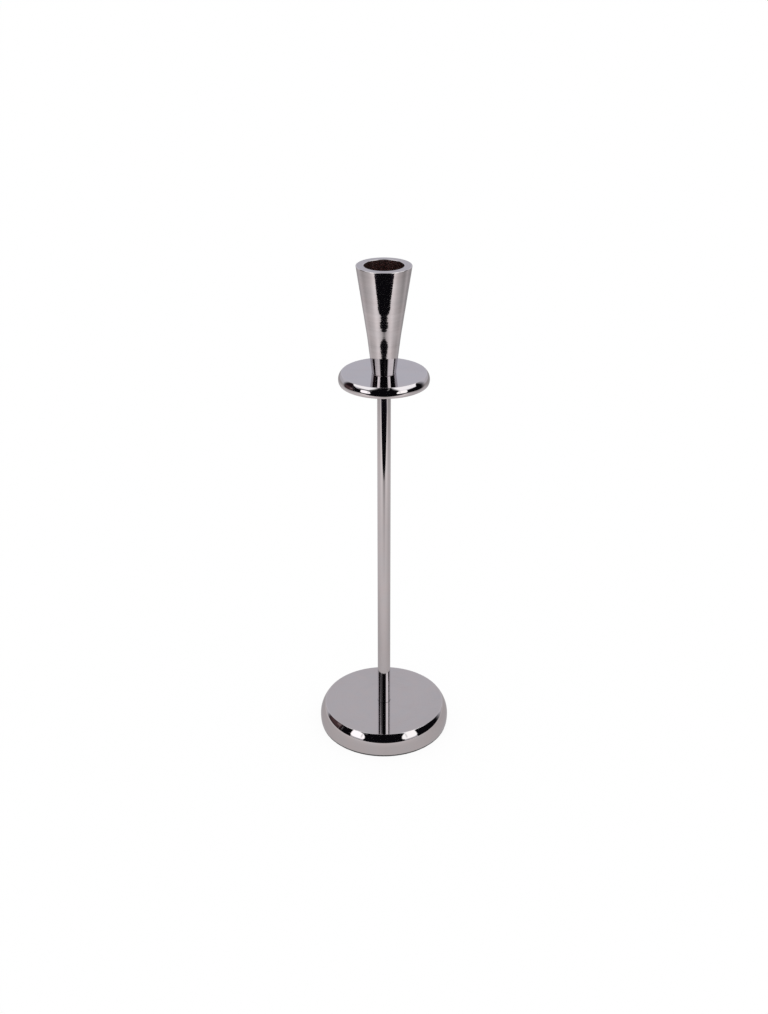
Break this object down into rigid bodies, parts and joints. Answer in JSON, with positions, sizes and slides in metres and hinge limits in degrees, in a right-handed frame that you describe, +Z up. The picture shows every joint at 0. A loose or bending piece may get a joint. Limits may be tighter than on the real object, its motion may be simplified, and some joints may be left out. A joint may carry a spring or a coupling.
{
  "type": "tall candle holder",
  "caption": "Tall table candle holder: a turned cone cup for a tapered candle on a round drip pan, a slim straight stem and a weighted round base, all in polished nickel.",
  "frame": {"origin": "on the table under the middle of the base, at the underside of the felt pad", "axes": "+Z up along the stem's axis; the object is round about it, so +X and +Y are free"},
  "size_m": [0.0836, 0.0836, 0.3088],
  "materials": {
    "polished_nickel": "polished nickel plating, mirror bright",
    "zinc_plated_steel": "bright zinc plating on steel",
    "cast_iron": "as cast, wiped with dark paint",
    "black_felt": "pressed wool felt"
  },
  "bodies": {
    "root": {"candle_cup": "polished_nickel", "drip_pan": "polished_nickel", "stem_tube": "polished_nickel", "tie_rod": "zinc_plated_steel", "base_shell": "polished_nickel", "base_weight": "cast_iron", "flat_washer": "zinc_plated_steel", "spring_washer": "zinc_plated_steel", "hex_nut": "zinc_plated_steel", "felt_pad": "black_felt"}
  },
  "joints": []
}
